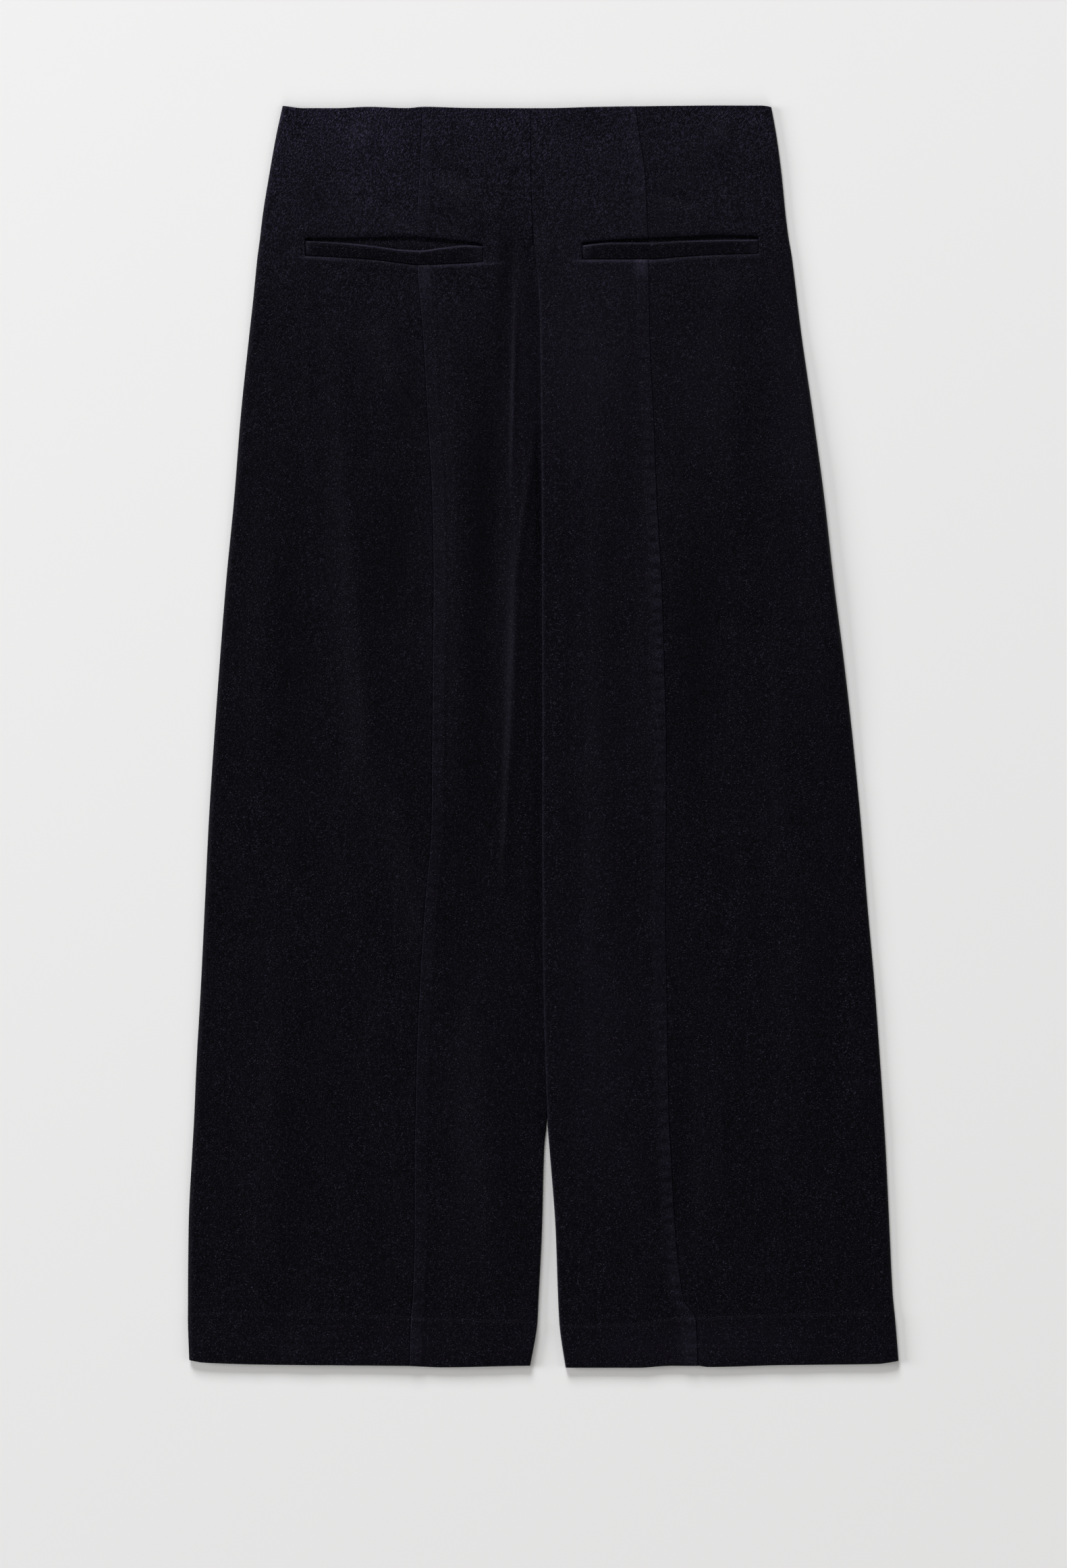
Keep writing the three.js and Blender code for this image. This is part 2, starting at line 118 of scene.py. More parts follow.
# The line of stitches that holds the turned-up hem, across the trousers
HEM_LINE_ROWS = [[-274, 931.5], [-228, 929.8], [-194, 931.2], [-153, 932.1], [-107, 933.4], [-81, 935.5],
                 [-5, 937], [18, 940.5], [62, 939.6], [90, 936.5], [101, 934.4], [127, 934.2], [164, 932.4],
                 [202, 931.3], [239, 930.3], [274, 930.3]]

# Pockets, by columns across them: the slit's upper edge, the welt's folded lip and its foot seam
POCKET_NAMES = ["x", "slit", "lip", "foot"]
POCKET_ROWS = {
    "left": [
        [-183.5, 102.4, 104.4, 115.7],
        [-157.5, 102.4, 105.6, 117],
        [-130, 101.8, 108.4, 118.8],
        [-110, 101.2, 111.1, 121.3],
        [-95, 101.6, 111.8, 122.9],
        [-78, 103, 109.7, 122.2],
        [-58, 105.4, 107.8, 121.3],
        [-46.5, 106.8, 108.6, 120.4],
    ],
    "right": [
        [30, 106, 107.8, 118.4],
        [53, 103.8, 105.6, 118.4],
        [80, 102.4, 105.6, 118.4],
        [107, 101.4, 104.5, 116.5],
        [133, 100.2, 103.8, 114.9],
        [166, 101, 103.2, 113.9],
    ],
}

# The largest folds, as in the solids. Each row: one end, the other end, sideways bow at the
# middle, half width and height. A height below zero is a valley.
FOLDS = [
    [-160, 160, -130, 560, 0, 13, 3.3],
    [-208, 250, -214, 520, 0, 17, 1.8],
    [-66, 150, -60, 560, 0, 15, 4.2],
    [-27, 98, -23, 180, 0, 6, -2],
    [-38, 200, -41, 520, 0, 10, -2],
    [-80, 56, -46, 95, 3, 8, 2.2],
    [-134, 170, -84, 256, -3, 12, 3],
    [-116, 290, -100, 415, 0, 17, -1.6],
    [-140, 400, -66, 705, 0, 19, 4],
    [-46, 640, -38, 915, 2, 20, 3.4],
    [-200, 640, -206, 905, 0, 18, 2.4],
    [-150, 24, -128, 26, 0, 13, 1.8],
    [126, 24, 146, 28, 0, 12, 1.8],
    [142, 130, 152, 340, 0, 15, 3.6],
    [212, 120, 224, 520, 0, 18, 3.2],
    [92, 290, 92, 590, 0, 26, 4.8],
    [45, 180, 54, 740, -5, 16, 3.2],
    [186, 400, 198, 830, 4, 18, 3],
    [112, 715, 112, 905, 0, 12, -2],
]

# Smaller creases and dents, in the same columns
CREASES = [
    [-20.5, 130, -24.5, 305, 0, 1.8, 2.1],
    [-20, 325, -31, 610, 1.5, 3.8, 3.0],
    [-82, 62, -48, 90, 3, 2.8, 1.0],
    [-82, 82, -58, 102, 1, 3.4, -1.2],
    [-42, 56, 2, 32, 0, 4, 0.5],
    [84, 66, 120, 78, 0, 4, -0.9],
    [-124, 72, -98, 98, 0, 4, -1.6],
    [-16, 60, -15, 120, 0, 4, 0.5],
    [42, 51, 78, 55, 1, 2, 0.6],
    [44, 56, 74, 60, 1, 2.5, -0.5],
    [144, 142, 133, 168, 0, 3, 0.8],
    [-183, 127, -181, 236, 1, 5, 0.6],
    [-158, 200, -144, 380, 0, 5, 0.4],
    [-141, 330, -135, 480, 0, 5, 0.4],
    [-132, 198, -90, 264, 2, 7, -2],
    [138, 740, 139, 850, 0, 5, 0.8],
    [-114, 826, -106, 852, 0, 5, 0.6],
    [-8, 618, -8, 810, 0, 8, -0.8],
    [22, 150, 27, 530, 1, 5, 0.8],
    [178, 290, 185, 600, 1, 6, 0.9],
    [206, 560, 213, 820, 0, 7, 0.7],
    [36, 560, 40, 760, 0, 6, 0.5],
    [137, 345, 128, 565, 0, 18, -1.4],
]


def smooth(at, values):
    """A curve through the values that never swings past them."""
    at = np.asarray(at, float)
    values = np.asarray(values, float)
    steep = np.diff(values) / np.diff(at)
    before = np.concatenate([steep[:1], steep])
    after = np.concatenate([steep, steep[-1:]])
    same = before * after > 0
    slopes = np.where(same, 2 * before * after / np.where(same, before + after, 1), 0)

    def curve(place):
        i = np.clip(np.searchsorted(at, place) - 1, 0, len(at) - 2)
        step = at[i + 1] - at[i]
        t = np.clip((place - at[i]) / step, 0, 1)
        start = (1 + 2 * t) * (1 - t) ** 2 * values[i] + t * (1 - t) ** 2 * step * slopes[i]
        end = t * t * (3 - 2 * t) * values[i + 1] - t * t * (1 - t) * step * slopes[i + 1]
        return start + end

    return curve


def eased(at, values):
    """A curve that is level at each value."""
    at = np.asarray(at, float)
    values = np.asarray(values, float)

    def curve(place):
        i = np.clip(np.searchsorted(at, place) - 1, 0, len(at) - 2)
        t = np.clip((place - at[i]) / (at[i + 1] - at[i]), 0, 1)
        return values[i] + (values[i + 1] - values[i]) * t * t * (3 - 2 * t)

    return curve


def table(names, rows, between=smooth):
    """One curve for each column after the first, by name."""
    at = [row[0] for row in rows]
    return {name: between(at, [row[i + 1] for row in rows]) for i, name in enumerate(names[1:])}


def ease(value, start, end):
    """From 0 at the start to 1 at the end, level at both."""
    t = np.clip((value - start) / (end - start), 0, 1)
    return t * t * (3 - 2 * t)


def mix(a, b, share):
    return a + (b - a) * share


LINE = table(STATION_NAMES, STATION_ROWS)
CENTRE = table(CENTRE_NAMES, CENTRE_ROWS, eased)
WAIST_DIP = smooth([r[0] for r in WAIST_ROWS], [r[1] for r in WAIST_ROWS])
HEM_RISE = smooth([r[0] for r in HEM_ROWS], [r[1] for r in HEM_ROWS])
HEM_LINE = smooth([r[0] for r in HEM_LINE_ROWS], [r[1] for r in HEM_LINE_ROWS])
POCKETS = {side: table(POCKET_NAMES, rows) for side, rows in POCKET_ROWS.items()}
POCKET_ENDS = {side: (rows[0][0], rows[-1][0]) for side, rows in POCKET_ROWS.items()}


def fold_heights(folds, x, drop):
    """Height of a list of folds: round across each one and fading at both its ends."""
    total = np.zeros(np.broadcast(x, drop).shape)
    for x0, drop0, x1, drop1, bow, width, height in folds:
        along = (x1 - x0, drop1 - drop0)
        long = math.hypot(*along)
        share = np.clip(((x - x0) * along[0] + (drop - drop0) * along[1]) / long**2, 0, 1)
        across = ((x - x0) * along[1] - (drop - drop0) * along[0]) / long
        wave = np.sin(np.pi * share)
        away = (across - bow * wave) / width
        total += height * np.exp(-away * away) * wave**0.7
    return total


def in_hem(drop):
    """0 above the turned-up hem and 1 in it."""
    return ease(drop, HEM_TOP - 1, HEM_TOP + 3)


# Soft unevenness of the cloth: long waves at odd angles, a row for each: length, angle, height
WAVES = [
    [61, 4, 0.16],
    [83, 77, 0.1],
    [37, -6, 0.1],
    [22, 9, 0.05],
    [14, -4, 0.022],
    [11, 61, 0.012],
]


def unevenness(x, drop):
    """Height of the long waves, each bent by a longer one."""
    total = 0
    for i, (length, angle, height) in enumerate(WAVES):
        turn = math.radians(angle)
        along = x * math.cos(turn) + drop * math.sin(turn)
        across = -x * math.sin(turn) + drop * math.cos(turn)
        bend = np.sin(across * 2 * np.pi / (length * 5.3) + 1.3 * i)
        total = total + height * np.sin(along * 2 * np.pi / length + 2.1 * i + 1.6 * bend)
    return total


# The waist facing inside: the drops of its lower edge and its sewing line, and how they show
INSIDE_EDGE, INSIDE_LINE = 49, 27
EDGE_PRESS, LINE_PRESS = 0.28, 0.14


def facing_press(x, drop):
    """The waist facing inside presses its lower edge and its sewing line through the back."""
    edge = drop - INSIDE_EDGE - 1.3 * np.sin(x / 29)
    line = drop - INSIDE_LINE - 0.8 * np.sin(x / 23 + 1)
    return EDGE_PRESS * (1 - ease(edge, -1, 1)) - LINE_PRESS * np.exp(-line * line)


def slack_top(x, drop):
    """Upper side of the back where it lies slack over the front."""
    folds = fold_heights(FOLDS, x, drop) + fold_heights(CREASES, x, drop)
    level = np.maximum(BACK_TOP + folds + HEM_RAISE * in_hem(drop), LOWEST_TOP)
    return level + unevenness(x, drop) + facing_press(x, drop)


# The left leg sinks deepest beside the lap, over this length and this far out from its edge
SINK_MIDDLE, SINK_REACH, SINK_WIDTH, SINK_DEPTH = 318, 46, 3.2, 1.15
# The crease in the pressed part of the left leg, running out from the lap
LAP_CREASES = [[-7, 245, -22, 372, 1, 3.2, 1.6]]


def left_top(x, drop):
    """Upper side of the left leg's back: slack, and pressed flat along the lap."""
    out = LINE["inner_right"](drop) - x
    pressed = 1 - ease(out, PRESS_START, PRESS_END)
    level = mix(slack_top(x, drop), CENTRE["left_top"](drop) + HEM_RAISE * in_hem(drop), pressed)
    along = (drop - SINK_MIDDLE) / SINK_REACH
    level = level + fold_heights(LAP_CREASES, x, drop) * ease(out, 1.5, 5)
    return level - SINK_DEPTH * np.exp(-along * along - (out / SINK_WIDTH) ** 2)


def right_top(x, drop):
    """Upper side of the right leg's back: slack, and riding on the left leg at the lap."""
    lap = np.maximum(LINE["inner_left"](drop) - LINE["inner_right"](drop), 0)
    riding = 1 - ease(x - LINE["inner_right"](drop) - lap, RIDE_START, RIDE_END)
    return mix(slack_top(x, drop), CENTRE["right_top"](drop) + HEM_RAISE * in_hem(drop), riding)


# Places of the slit and the foot seam among the rows of a panel
SLIT_STATION = 102
FOOT_STATION = 119
WARP_REACH = 42


def drop_at(x, station, side):
    """The real drop of a grid row: it follows the waist edge, the pocket's two edges and the hem."""
    dip = WAIST_DIP(x) * (1 - ease(station, 0, WAIST_REACH))
    turned = np.clip((station - HEM_TOP) / HEM_DEPTH, 0, 1)
    fit = mix(HEM_LINE(x) - HEM_TOP, -HEM_RISE(x), turned) * ease(station, LENGTH - HEM_REACH, HEM_TOP)
    slit = POCKETS[side]["slit"](x) - SLIT_STATION
    foot = POCKETS[side]["foot"](x) - FOOT_STATION
    between = np.clip((station - SLIT_STATION) / (FOOT_STATION - SLIT_STATION), 0, 1)
    near = ease(station, SLIT_STATION - WARP_REACH, SLIT_STATION)
    near = near * (1 - ease(station, FOOT_STATION, FOOT_STATION + WARP_REACH))
    return station + dip + fit + mix(slit, foot, between) * near


def spaced(start, end, step):
    """Even places from start up to, but without, end."""
    count = max(int(math.ceil((end - start) / step)), 1)
    return start + (end - start) * np.arange(count) / count


def stations(step):
    """Rows of a panel's grid: even, and closer at the waist edge, the slit, the stitches and hem."""
    marks = [
        (0, 0.25),
        (1.5, 1.2),
        (6, step),
        (SLIT_STATION - 6, 1),
        (SLIT_STATION, 2.5),
        (FOOT_STATION, 0.8),
        (FOOT_STATION + 6, step),
        (HEM_TOP - 4, 0.8),
        (HEM_TOP + 4, step),
        (LENGTH - 6, 1.2),
        (LENGTH - 1.5, 0.25),
        (LENGTH, 0),
    ]
    parts = [spaced(start, marks[i + 1][0], gap) for i, (start, gap) in enumerate(marks[:-1])]
    return np.append(np.concatenate(parts), LENGTH)


# How far from an edge its rounding reaches, and how far the cloth falls there
WAIST_ROUND, WAIST_FALL = 1.2, 0.6
HEM_ROUND, HEM_FALL = 1.5, 0.9
SLIT_ROUND, SLIT_FALL = 3.2, 1.5
FOOT_ROUND, FOOT_FALL = 2.2, 1.0
FOOT_SWELL = 0.2


def end_fall(station):
    """How far the upper side falls at the rounded waist edge and at the folded hem."""
    waist = np.clip(1 - station / WAIST_ROUND, 0, 1)
    hem = np.clip(1 - (LENGTH - station) / HEM_ROUND, 0, 1)
    return WAIST_FALL * (1 - np.sqrt(1 - waist**2)) + HEM_FALL * (1 - np.sqrt(1 - hem**2))


def slit_fall(x, station, side):
    """How far a panel's upper side falls into the slit above the welt and into the seam below it."""
    start, end = POCKET_ENDS[side]
    inside = ease(x, start - 1.5, start + 1.5) * (1 - ease(x, end - 1.5, end + 1.5))
    above = np.clip(1 - (SLIT_STATION - station) / SLIT_ROUND, 0, 1) * (station <= SLIT_STATION)
    below = np.clip(1 - (station - FOOT_STATION) / FOOT_ROUND, 0, 1) * (station >= FOOT_STATION)
    swell = np.exp(-(((station - FOOT_STATION - 4) / 3) ** 2)) * (station >= FOOT_STATION)
    fall = SLIT_FALL * (1 - np.sqrt(1 - above**2)) + FOOT_FALL * (1 - np.sqrt(1 - below**2))
    return inside * (fall - FOOT_SWELL * swell)


ROLL_STEPS = 7


def roll_columns(side, line, radius, end, top, station):
    """Columns of a rolled edge, from the edge inwards: upper x and z, lower x and z."""
    edge = line(station)[:, None]
    r = radius(station)[:, None]
    foot = end(station)[:, None]
    turn = np.radians(np.linspace(90, 0, ROLL_STEPS))[None, :]
    level = top(edge + side * r, station[:, None])
    upper_x = edge + side * r * (1 - np.sin(turn))
    lower_x = edge + side * (r - (r - CLOTH) * np.sin(turn))
    upper_z = foot + (level - foot) * np.cos(turn)
    lower_z = foot + (level - CLOTH - foot) * np.cos(turn)
    return upper_x, upper_z, lower_x, lower_z


ALLOWANCE_WIDTH = 8.5
ALLOWANCE_FALL = 3.2
ALLOWANCE_RAISE = 0.4
SEAM_GROOVE = 0.45
# How high the bulges stand beside the left seam, on its right, and beside the right one, on its left
PUCKER = {1: 0.16, -1: 0.3}
PUCKER_PITCH = 10.5
SEAM_OFFSETS = np.array([0, 0.25, 0.5, 0.9, 1.6, 2.6, 4, 5.5, 7, 8.5, 9.5, 10.6, 11.8])


def puckers(drop, phase):
    """Small uneven bulges along a seam allowance, where the sewing draws the cloth up."""
    turn = drop * 2 * np.pi / PUCKER_PITCH + 1.1 * np.sin(drop / 37 + phase) + 0.7 * np.sin(drop / 13) + phase
    strength = 0.6 + 0.4 * np.sin(drop / 71 + 2.3 * phase)
    return (1 - 1.7 * (0.5 + 0.5 * np.cos(turn)) ** 2.5) * strength


def bulge_across(offset):
    """A bulge's share of its height, by distance from the seam."""
    return np.exp(-(((offset - 3.6) / 4) ** 4))


def seam_columns(side, line, raised, top, station):
    """Columns beside a seam, from the seam inwards: upper x and z, lower x and z."""
    offset = SEAM_OFFSETS[None, :]
    x = line(station)[:, None] + side * (SEWN_GAP + offset)
    drop = station[:, None]
    level = top(x, drop)
    groove = SEAM_GROOVE * np.clip(1 - offset / (0.5 if raised else 0.9), 0, 1) ** 2
    if raised:
        strip = 1 - ease(offset, ALLOWANCE_WIDTH, ALLOWANCE_WIDTH + ALLOWANCE_FALL)
        bump = PUCKER[side] * puckers(drop, 2.0 + side) * bulge_across(offset)
        extra = ALLOWANCE_RAISE * strip + bump + 0.3 * strip * in_hem(drop)
    else:
        extra = 0.08 * puckers(drop, 0.7 + side) * np.exp(-(((offset - 2) / 3) ** 2))
    return x, level + extra - groove, x, level - CLOTH + 0 * offset


def rolled(side, line, radius, end):
    """A panel's side that is a rolled edge."""
    return lambda top, station: roll_columns(side, line, radius, end, top, station)


def sewn(side, line, raised):
    """A panel's side that is a seam, raised where the allowances lie under it."""
    return lambda top, station: seam_columns(side, line, raised, top, station)


def front_top(station):
    """Upper side of the front, two layers thick in the hem."""
    return CLOTH * (1 + in_hem(station))


def side_end(station):
    return front_top(station) + GAP


def side_roll(station):
    return np.full_like(station, EDGE_ROLL)


def inner_roll(station):
    return mix(SEAM_ROLL, INNER_ROLL, ease(station, LAP_FROM, LAP_FULL))


def left_inner(station):
    return LINE["inner_left"](station) - SEWN_GAP


def right_inner(station):
    return LINE["inner_right"](station) + SEWN_GAP


def left_inner_end(station):
    return CENTRE["left_end"](station) + CLOTH * in_hem(station)


def right_inner_end(station):
    return CENTRE["right_end"](station) + CLOTH * in_hem(station)


def shell(name, upper, lower, kept=None, seam=None):
    """A closed wall between two grids of points, rows by columns by 3, in millimetres."""
    rows, cols = upper.shape[:2]
    kept = np.ones((rows - 1, cols - 1), bool) if kept is None else kept
    number = np.arange(rows * cols).reshape(rows, cols)
    under = number + rows * cols
    i, j = np.nonzero(kept)

    def quads(a, b, c, d):
        return np.stack([a, b, c, d], axis=1)

    faces = [
        quads(number[i, j], number[i + 1, j], number[i + 1, j + 1], number[i, j + 1]),
        quads(under[i, j], under[i, j + 1], under[i + 1, j + 1], under[i + 1, j]),
    ]
    padded = np.pad(kept, 1)
    rims = [
        (kept & ~padded[:-2, 1:-1], (0, 0), (0, 1)),
        (kept & ~padded[2:, 1:-1], (1, 1), (1, 0)),
        (kept & ~padded[1:-1, :-2], (1, 0), (0, 0)),
        (kept & ~padded[1:-1, 2:], (0, 1), (1, 1)),
    ]
    for rim, first, last in rims:
        i, j = np.nonzero(rim)
        a = (i + first[0], j + first[1])
        b = (i + last[0], j + last[1])
        faces.append(quads(number[a], number[b], under[b], under[a]))
    points = np.concatenate([upper.reshape(-1, 3), lower.reshape(-1, 3)]) * MM
    if seam is not None:
        seam = np.concatenate([seam.reshape(-1, 3), seam.reshape(-1, 3)]) * MM
    return mesh_object(name, points, np.concatenate(faces), seam)


def mesh_object(name, points, faces, seam=None):
    """A mesh from points in metres and faces with one count of corners, loose points left out."""
    used = np.unique(faces)
    renumber = np.zeros(len(points), int)
    renumber[used] = np.arange(len(used))
    faces = renumber[faces]
    points = points[used]
    mesh = bpy.data.meshes.new(name)
    mesh.vertices.add(len(points))
    mesh.vertices.foreach_set("co", points.astype(np.float32).ravel())
    sides = faces.shape[1]
    mesh.loops.add(faces.size)
    mesh.loops.foreach_set("vertex_index", faces.astype(np.int32).ravel())
    mesh.polygons.add(len(faces))
    mesh.polygons.foreach_set("loop_start", np.arange(0, faces.size, sides, dtype=np.int32))
    if seam is not None:
        attribute = mesh.attributes.new("seam", "FLOAT_VECTOR", "POINT")
        attribute.data.foreach_set("vector", seam[used].astype(np.float32).ravel())
    mesh.update(calc_edges=True)
    mesh.validate()
    mesh.shade_smooth()
    piece = bpy.data.objects.new(name, mesh)
    bpy.context.scene.collection.objects.link(piece)
    return piece


ROW_STEP = 2.3

# The back's panels: how each side ends, the leg's upper side and name, which end of the pocket the
# panel holds, and its columns on both sides of that end
PANELS = {
    "back_left_side": {
        "left": rolled(1, LINE["side_left"], side_roll, side_end),
        "right": sewn(-1, LINE["seam_left"], False),
        "top": left_top,
        "side": "left",
        "pocket_end": 0,
        "columns": (26, 42),
    },
    "back_left_centre": {
        "left": sewn(1, LINE["seam_left"], True),
        "right": rolled(-1, left_inner, inner_roll, left_inner_end),
        "top": left_top,
        "side": "left",
        "pocket_end": 1,
        "columns": (26, 44),
    },
    "back_right_centre": {
        "left": rolled(1, right_inner, inner_roll, right_inner_end),
        "right": sewn(-1, LINE["seam_right"], True),
        "top": right_top,
        "side": "right",
        "pocket_end": 0,
        "columns": (24, 26),
    },
    "back_right_side": {
        "left": sewn(1, LINE["seam_right"], False),
        "right": rolled(-1, LINE["side_right"], side_roll, side_end),
        "top": right_top,
        "side": "right",
        "pocket_end": 1,
        "columns": (42, 22),
    },
}


# Places painted paler on the back, partly wear and partly painted highlights on lit folds, and painted shade
# in the folds' hollows where the strength is below zero. Each row: the middle's x and drop, half width, half
# height, strength
PAINTED_LIGHT_AND_WEAR = [
    [-142, 24, 20, 7, 0.06],
    [140, 28, 16, 9, 0.045],
    [-91, 132, 5, 12, 0.14],
    [76, 124, 5, 6, 0.3],
    [-97, 955, 6, 17, 0.05],
    [112, 955, 8, 17, 0.045],
    [30, 190, 42, 90, 0.055],
    [118, 225, 22, 60, 0.025],
    [200, 220, 26, 100, 0.03],
    [40, 470, 34, 90, 0.015],
    [22, 12, 42, 11, -0.05],
    [-23, 240, 3, 70, 0.075],
    [-25, 430, 5, 90, 0.075],
    [-82, 300, 10, 160, 0.02],
    [-150, 78, 55, 38, 0.03],
    [95, 80, 60, 38, 0.03],
    [40, 720, 36, 120, 0.035],
    [-55, 790, 40, 130, 0.012],
    [-150, 955, 110, 16, 0.02],
    [120, 955, 120, 16, 0.04],
    [-46, 300, 13, 85, -0.085],
    [-34, 190, 6, 50, -0.08],
    [-48, 510, 22, 80, -0.05],
    [-112, 352, 16, 44, -0.08],
    [-106, 230, 11, 22, -0.1],
    [-190, 440, 16, 110, -0.04],
    [-27, 115, 8, 36, -0.1],
    [117, 400, 13, 84, -0.08],
]
# Strengths of wear over an allowance and on its bulges, and of the painted highlight along the lapped edge
# with its half width
STRIP_RUB = 0.012
PUCKER_RUB = {1: 0.04, -1: 0.1}
LAP_HIGHLIGHT, LAP_HIGHLIGHT_WIDTH = 0.17, 1.1

# A painted highlight along the fold beside a welt's foot seam, strongest near the pocket's ends. Each pair:
# x, strength
FOOT_HIGHLIGHT = {
    "left": [
        [-190, 0], [-184, 0.22], [-162, 0.18], [-150, 0.03], [-92, 0.03], [-80, 0.18], [-38, 0.25], [-28, 0],
    ],
    "right": [
        [20, 0], [27, 0.2], [82, 0.2], [90, 0.12], [130, 0.1], [150, 0.05], [166, 0.06], [174, 0],
    ],
}
# The distance from a seam that is written where none is near
FAR = 1000


def painted_light_and_wear_at(x, drop):
    """Strength of the painted light and wear at each place, each fading out from its middle."""
    total = 0 * x
    for middle, down, wide, high, strength in PAINTED_LIGHT_AND_WEAR:
        total = total + strength * np.exp(-(((x - middle) / wide) ** 2) - ((drop - down) / high) ** 2)
    return total


def allowance_rub(away, drop, side):
    """Paler over the allowance, and most on the bulges beside the seam."""
    strip = 1 - ease(away, ALLOWANCE_WIDTH, ALLOWANCE_WIDTH + 1.5)
    bulge = np.maximum(puckers(drop, 2.0 + side), 0) * bulge_across(away)
    return STRIP_RUB * strip + PUCKER_RUB[side] * bulge


def foot_highlight(x, station, side):
    """Painted highlight along the fold that the welt's foot seam makes."""
    at, strength = zip(*FOOT_HIGHLIGHT[side])
    below = station - FOOT_STATION
    return np.interp(x, at, strength) * np.exp(-(((below - 1.5) / 1.3) ** 2)) * (below >= 0)


def panel_light_and_wear(name, x, drop, row, side):
    """Distance from the seam, drop, and strength of painted light and wear at each point, for the material.
    """
    away = np.abs(x - LINE["seam_" + side](row))
    light_and_wear = painted_light_and_wear_at(x, drop)
    if "centre" in name:
        light_and_wear = light_and_wear + allowance_rub(away, row, 1 if side == "left" else -1)
    else:
        away = np.full_like(away, FAR)
    light_and_wear = light_and_wear + foot_highlight(x, row, side)
    # Painted highlight along the lapped fold edge of the right leg.
    if "right_centre" in name:
        near = (x - LINE["inner_right"](row)) / LAP_HIGHLIGHT_WIDTH
        light_and_wear = light_and_wear + LAP_HIGHLIGHT * np.exp(-(near**2)) * ease(row, LAP_FULL + 3, LAP_FULL + 35)
    return np.stack([away, drop, light_and_wear], axis=2)


def back_panel(name, left, right, top, side, pocket_end, columns):
    """A back panel with the window for its end of the pocket."""
    station = stations(ROW_STEP)
    first = left(top, station)
    last = [part[:, ::-1] for part in right(top, station)]
    start = first[0][:, -1:]
    end = last[0][:, :1]
    near = ease(station, SLIT_STATION - WARP_REACH, SLIT_STATION - 3)
    near = (near * (1 - ease(station, FOOT_STATION + 3, FOOT_STATION + WARP_REACH)))[:, None]
    share = columns[0] / sum(columns)
    break_x = mix(mix(start, end, share), POCKET_ENDS[side][pocket_end], near)
    before = mix(start, break_x, (np.arange(1, columns[0] + 1) / columns[0])[None, :])
    after = mix(break_x, end, (np.arange(1, columns[1]) / columns[1])[None, :])
    middle_x = np.concatenate([before, after], axis=1)
    level = top(middle_x, station[:, None])
    upper_x = np.concatenate([first[0], middle_x, last[0]], axis=1)
    upper_z = np.concatenate([first[1], level, last[1]], axis=1)
    lower_x = np.concatenate([first[2], middle_x, last[2]], axis=1)
    lower_z = np.concatenate([first[3], level - CLOTH, last[3]], axis=1)
    flat = upper_x == lower_x
    row = station[:, None]
    lower_z = lower_z - flat * CLOTH * in_hem(row)
    fall = end_fall(row) + slit_fall(upper_x, row, side)
    y = WAIST_Y - drop_at(upper_x, row, side)
    upper = np.stack([upper_x, y, upper_z - fall], axis=2)
    lower = np.stack([lower_x, y, np.minimum(lower_z, upper_z - fall - 0.3)], axis=2)
    kept = np.ones((len(station) - 1, upper_x.shape[1] - 1), bool)
    rows = (station[:-1] >= SLIT_STATION - 0.01) & (station[1:] <= FOOT_STATION + 0.01)
    at_break = first[0].shape[1] + columns[0] - 1
    in_window = np.arange(kept.shape[1]) >= at_break
    if pocket_end == 1:
        in_window = ~in_window
    kept[np.ix_(rows, in_window)] = False
    return shell(name, upper, lower, kept, panel_light_and_wear(name, upper_x, WAIST_Y - y, row, side))


FRONT_STEP = 9
FRONT_COLUMNS = 56
FRONT_INSET_WAIST, FRONT_INSET_HEM = 0.5, 1.5
FRONT_EDGE_FALL = 0.45


def front_panel(name, start, end, lifted):
    """A front panel, flat on the surface, its inner edge lifted where it lies over the other leg."""
    station = np.unique(np.clip(stations(FRONT_STEP), FRONT_INSET_WAIST, LENGTH - FRONT_INSET_HEM))
    row = station[:, None]
    from_x, to_x = start(station)[:, None], end(station)[:, None]
    if lifted:
        ramp = np.maximum(left_inner(station), start(station))[:, None] + RAMP_START
        share = np.linspace(0, 1, 9)[None, :]
        strip = mix(from_x, ramp, np.linspace(0, 1, 5)[None, :])
        slope = ramp + RAMP_END * share[:, 1:]
        rest = mix(ramp + RAMP_END, to_x, np.linspace(0, 1, FRONT_COLUMNS - 10)[None, 1:])
        x = np.concatenate([strip, slope, rest], axis=1)
        high = CENTRE["lift"](row) * (1 - ease(x, ramp, ramp + RAMP_END))
    else:
        x = mix(from_x, to_x, np.linspace(0, 1, FRONT_COLUMNS)[None, :])
        high = 0 * x
    y = WAIST_Y - drop_at(x, row, "right" if lifted else "left")
    edge = np.minimum(np.abs(x - from_x), np.abs(to_x - x))
    round_off = FRONT_EDGE_FALL * np.clip(1 - edge, 0, 1) ** 2
    upper = np.stack([x, y, high + front_top(row) - round_off], axis=2)
    lower = np.stack([x, y, high], axis=2)
    return shell(name, upper, lower)


def pocket_columns(side, count, beyond):
    """Columns across a pocket: their places on it, and their x with both ends moved out."""
    start, end = POCKET_ENDS[side]
    along = np.linspace(0, 1, count)
    return mix(start, end, along), mix(start - beyond, end + beyond, along)


# A welt's section from lip to foot: shares of its depth, and how far it lies below its highest line
WELT_SHARES = np.array([0, 0.0, 0.03, 0.08, 0.15, 0.3, 0.5, 0.7, 0.85, 0.95, 1.0])
WELT_FALLS = np.array([1.5, 0.9, 0.35, 0.08, 0, 0.1, 0.3, 0.6, 0.95, 1.2, 1.35])
WELT_COLUMNS = 110
WELT_PROUD = 0.9
WELT_END_FALL, WELT_END_REACH = 0.9, 3.0
WELT_DEPTH = 2.0
GAPE_LIFT = 0.06
# Strengths of the painted highlight along the welt's folded lip, and of wear at the welt's ends
LIP_HIGHLIGHT = 0.5
WELT_END_RUB = 0.1


